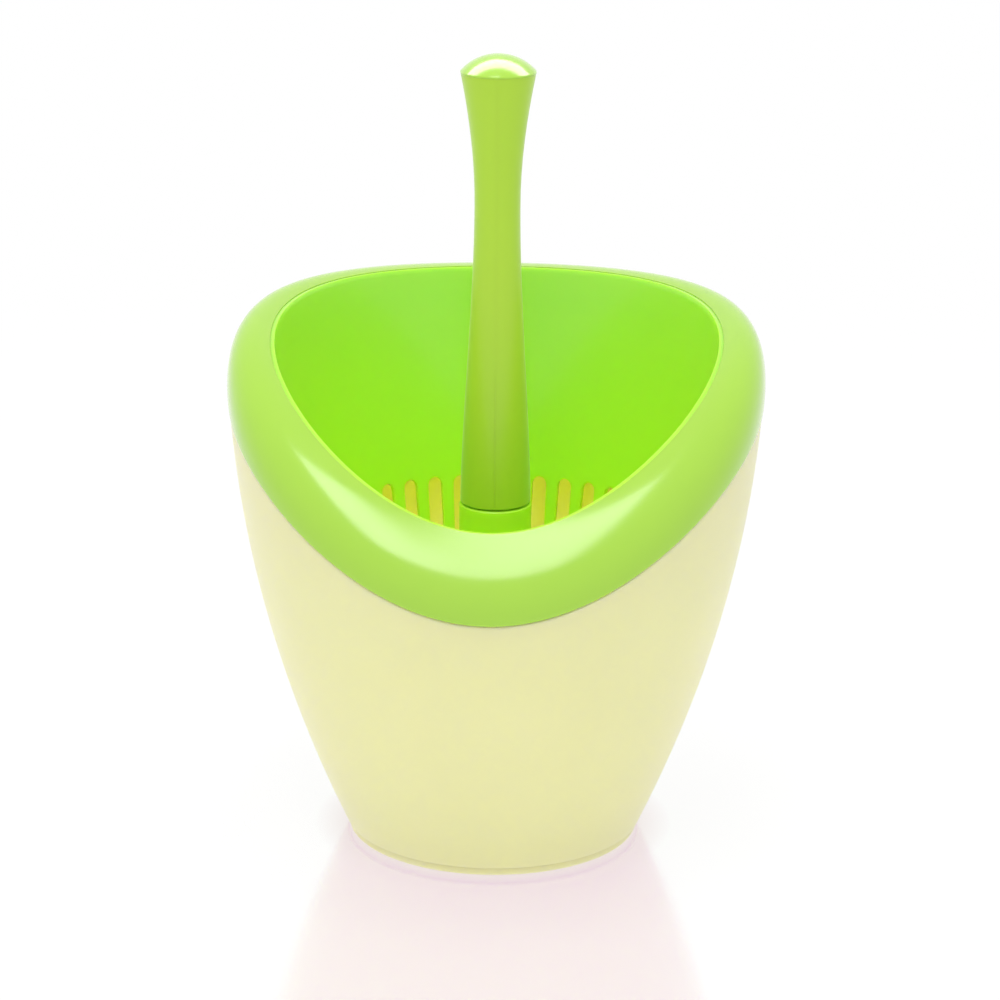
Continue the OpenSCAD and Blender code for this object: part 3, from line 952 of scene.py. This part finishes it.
join(pot, cream, "pot", "catch_pot")
join(bowl, leaf, "basket", "sieve_bowl")
join(collar, lime, "basket", "rim_collar")
join(grip_left, grip, "basket", "handle_left_half")
join(grip_right, grip, "basket", "handle_right_half")
join(cap, lime, "basket", "handle_cap")
print("pieces:", [p.name for p in (pot, bowl, collar, grip_left, grip_right, cap)])

# %% [markdown]
# ## Floor
# The photograph is a bright studio shot on a pale glossy table. The floor shows white to the camera, and a
# glossy layer over it mirrors the pot faintly. What the layer takes from the white is added again as glow,
# so that white surroundings still look white in it. A thin matt layer keeps the shadow at the foot. Next to
# the foot a pale glowing tone is a painted reflection with a little painted shade: it stands for the soft
# edge of the mirror image. Light that bounces from the floor to the object meets a plain card instead,
# which shines a little more near the foot.

# %% Shader helpers
def seen_by_eye(tree):
    """Output that is 1 for rays from the camera and for those in a reflection or through glass"""
    rays = tree.nodes.new("ShaderNodeLightPath")
    straight = tree.nodes.new("ShaderNodeMath")
    straight.operation = "MAXIMUM"
    tree.links.new(rays.outputs["Is Camera Ray"], straight.inputs[0])
    tree.links.new(rays.outputs["Is Glossy Ray"], straight.inputs[1])
    any_way = tree.nodes.new("ShaderNodeMath")
    any_way.operation = "MAXIMUM"
    tree.links.new(straight.outputs[0], any_way.inputs[0])
    tree.links.new(rays.outputs["Is Transmission Ray"], any_way.inputs[1])
    return any_way.outputs[0]


def combine(tree, kind, *sources):
    """Output of an add or mix shader whose inputs come from the sources in their order"""
    node = tree.nodes.new(kind)
    for source, socket in zip(sources, node.inputs):
        tree.links.new(source, socket)
    return node.outputs[0]


def glowing(tree, colour):
    """Node that shines in a colour"""
    return add_node(tree, "ShaderNodeEmission", Color=colour, Strength=1.0)


def grey(tone):
    """Grey of a tone, as shaders take it"""
    return (tone, tone, tone, 1)


print("shader helpers are ready")

# %% Lay the floor
FLOOR_SIZE = 14.0
FADE_START = 0.3
FADE_END = 0.8

bpy.ops.object.select_all(action="DESELECT")
bpy.ops.mesh.primitive_plane_add(size=FLOOR_SIZE, location=(0, 0, 0))
floor = bpy.context.object
floor.name = "studio_floor"
floor_material = bpy.data.materials.new("studio_floor")
floor_material.use_nodes = True
tree = floor_material.node_tree
tree.nodes.clear()
distance = tree.nodes.new("ShaderNodeVectorMath")
distance.operation = "LENGTH"
tree.links.new(tree.nodes.new("ShaderNodeTexCoord").outputs["Object"], distance.inputs[0])


def by_distance(start, end, near, far):
    """Value that runs from near to far between two distances from the axis"""
    node = add_node(tree, "ShaderNodeMapRange", From_Min=start, From_Max=end, To_Min=near, To_Max=far)
    tree.links.new(distance.outputs["Value"], node.inputs["Value"])
    return node.outputs["Result"]


print("floor is", FLOOR_SIZE, "m wide")

# %% Mix the floor
FLOOR_GLOSS = (0.39, 0.77, 0.305)
FLOOR_ROUGHNESS = 0.15
FLOOR_SHADE = 0.12
FLOOR_LEVEL = 1.1
CARD_TONE = 0.7
CARD_GLOW = 0.26
# Painted reflection with a little painted shade: a pale glowing tone next to the foot.
PAINTED_REFLECTION_TONE = linear(236, 226, 222)
CONTACT_START = 0.049
CONTACT_END = 0.062
PAINTED_REFLECTION_SHARE = 0.7
CONTACT_GLOW = 0.5

rest = [1 - part - FLOOR_SHADE * FLOOR_LEVEL for part in FLOOR_GLOSS]
shade = add_node(tree, "ShaderNodeBsdfDiffuse", Color=grey(FLOOR_SHADE))
gloss = add_node(tree, "ShaderNodeBsdfGlossy", Color=(*FLOOR_GLOSS, 1), Roughness=FLOOR_ROUGHNESS)
shaded = combine(tree, "ShaderNodeAddShader", shade.outputs[0], glowing(tree, (*rest, 1)).outputs[0])
glossy = combine(tree, "ShaderNodeAddShader", shaded, gloss.outputs[0])
# Next to the foot the painted reflection tone glows in place of the glossy floor.
near_foot = by_distance(CONTACT_START, CONTACT_END, PAINTED_REFLECTION_SHARE, 0.0)
footed = combine(tree, "ShaderNodeMixShader", near_foot, glossy, glowing(tree, PAINTED_REFLECTION_TONE).outputs[0])
far_away = by_distance(FADE_START, FADE_END, 0.0, 1.0)
faded = combine(tree, "ShaderNodeMixShader", far_away, footed, glowing(tree, grey(1)).outputs[0])
card = add_node(tree, "ShaderNodeBsdfDiffuse", Color=grey(CARD_TONE))
card_glow = glowing(tree, grey(1))
card_strength = by_distance(CONTACT_START, CONTACT_END, CONTACT_GLOW, CARD_GLOW)
tree.links.new(card_strength, card_glow.inputs["Strength"])
table = combine(tree, "ShaderNodeAddShader", card.outputs[0], card_glow.outputs[0])
floor_look = combine(tree, "ShaderNodeMixShader", seen_by_eye(tree), table, faded)
output = tree.nodes.new("ShaderNodeOutputMaterial")
tree.links.new(floor_look, output.inputs["Surface"])
floor.data.materials.append(floor_material)
print("floor has", len(tree.nodes), "nodes")

# %% [markdown]
# ## Light
# White surroundings give most of the light. A softbox in front draws the pale highlight on the collar, and
# two fills lift the top and the left without a highlight of their own. The band of light on the cap comes
# from a wide lamp that lights the cap alone. The slots look yellow in the photograph, because daylight
# comes through the thin wall of the pot, and a small lamp inside lights the pot alone to stand for that.

# %% Set the surroundings
WORLD_LIGHT = 1.1

scene = bpy.context.scene
scene.view_settings.view_transform = "Standard"
world = bpy.data.worlds.new("white_studio")
scene.world = world
world.use_nodes = True
tree = world.node_tree
sky = tree.nodes["Background"]
strength = add_node(tree, "ShaderNodeMapRange", To_Min=WORLD_LIGHT, To_Max=1.0)
tree.links.new(seen_by_eye(tree), strength.inputs["Value"])
sky.inputs["Color"].default_value = grey(1)
tree.links.new(strength.outputs["Result"], sky.inputs["Strength"])
print("surroundings light with", WORLD_LIGHT)

# %% Light the object
SOFTBOXES = {
    "key_softbox": ((-0.09, -0.46, 0.9), (-0.09, -0.46, 0), 0.24, 0.6, 2.2),
    "top_fill": ((0, 0, 0.9), (0, 0, 0), 0.2, 0.2, 1.2),
    "left_fill": ((-1.2, 0.9, 0.4), (0, 0, 0.1), 0.8, 1.2, 2.1),
    "cap_glint": ((0, 0.32, 0.9), (0, 0.32, 0), 2.0, 0.46, 22.0),
}
POT_WATTS = 0.15
POT_COLOUR = (0.94, 1, 0.1)
POT_LAMP_RADIUS = 0.025
POT_LAMP_PLACE = (0, 0, 0.1)


def softbox(name, place, target, width, height, watts):
    """Rectangular soft lamp aimed at a point"""
    lamp = bpy.data.lights.new(name, "AREA")
    lamp.shape = "RECTANGLE"
    lamp.size = width
    lamp.size_y = height
    lamp.energy = watts
    holder = bpy.data.objects.new(name, lamp)
    scene.collection.objects.link(holder)
    aim = (Vector(target) - Vector(place)).to_track_quat("-Z", "Y")
    holder.matrix_world = Matrix.Translation(place) @ aim.to_matrix().to_4x4()
    return holder


def only(piece):
    """Collection that holds one piece, for a lamp that is linked to it"""
    alone = bpy.data.collections.new(piece.name + "_alone")
    alone.objects.link(piece)
    return alone


lamps = {name: softbox(name, *spec) for name, spec in SOFTBOXES.items()}
lamps["top_fill"].visible_glossy = False
lamps["left_fill"].visible_glossy = False
lamps["cap_glint"].visible_diffuse = False
inside = bpy.data.lights.new("pot_glow", "POINT")
inside.energy = POT_WATTS
inside.color = POT_COLOUR
inside.shadow_soft_size = POT_LAMP_RADIUS
pot_glow = bpy.data.objects.new("pot_glow", inside)
scene.collection.objects.link(pot_glow)
pot_glow.location = POT_LAMP_PLACE
pot_glow.visible_camera = False
pot_glow.visible_glossy = False
pot_alone = only(pot)
pot_glow.light_linking.receiver_collection = pot_alone
pot_glow.light_linking.blocker_collection = pot_alone
lamps["cap_glint"].light_linking.receiver_collection = only(cap)
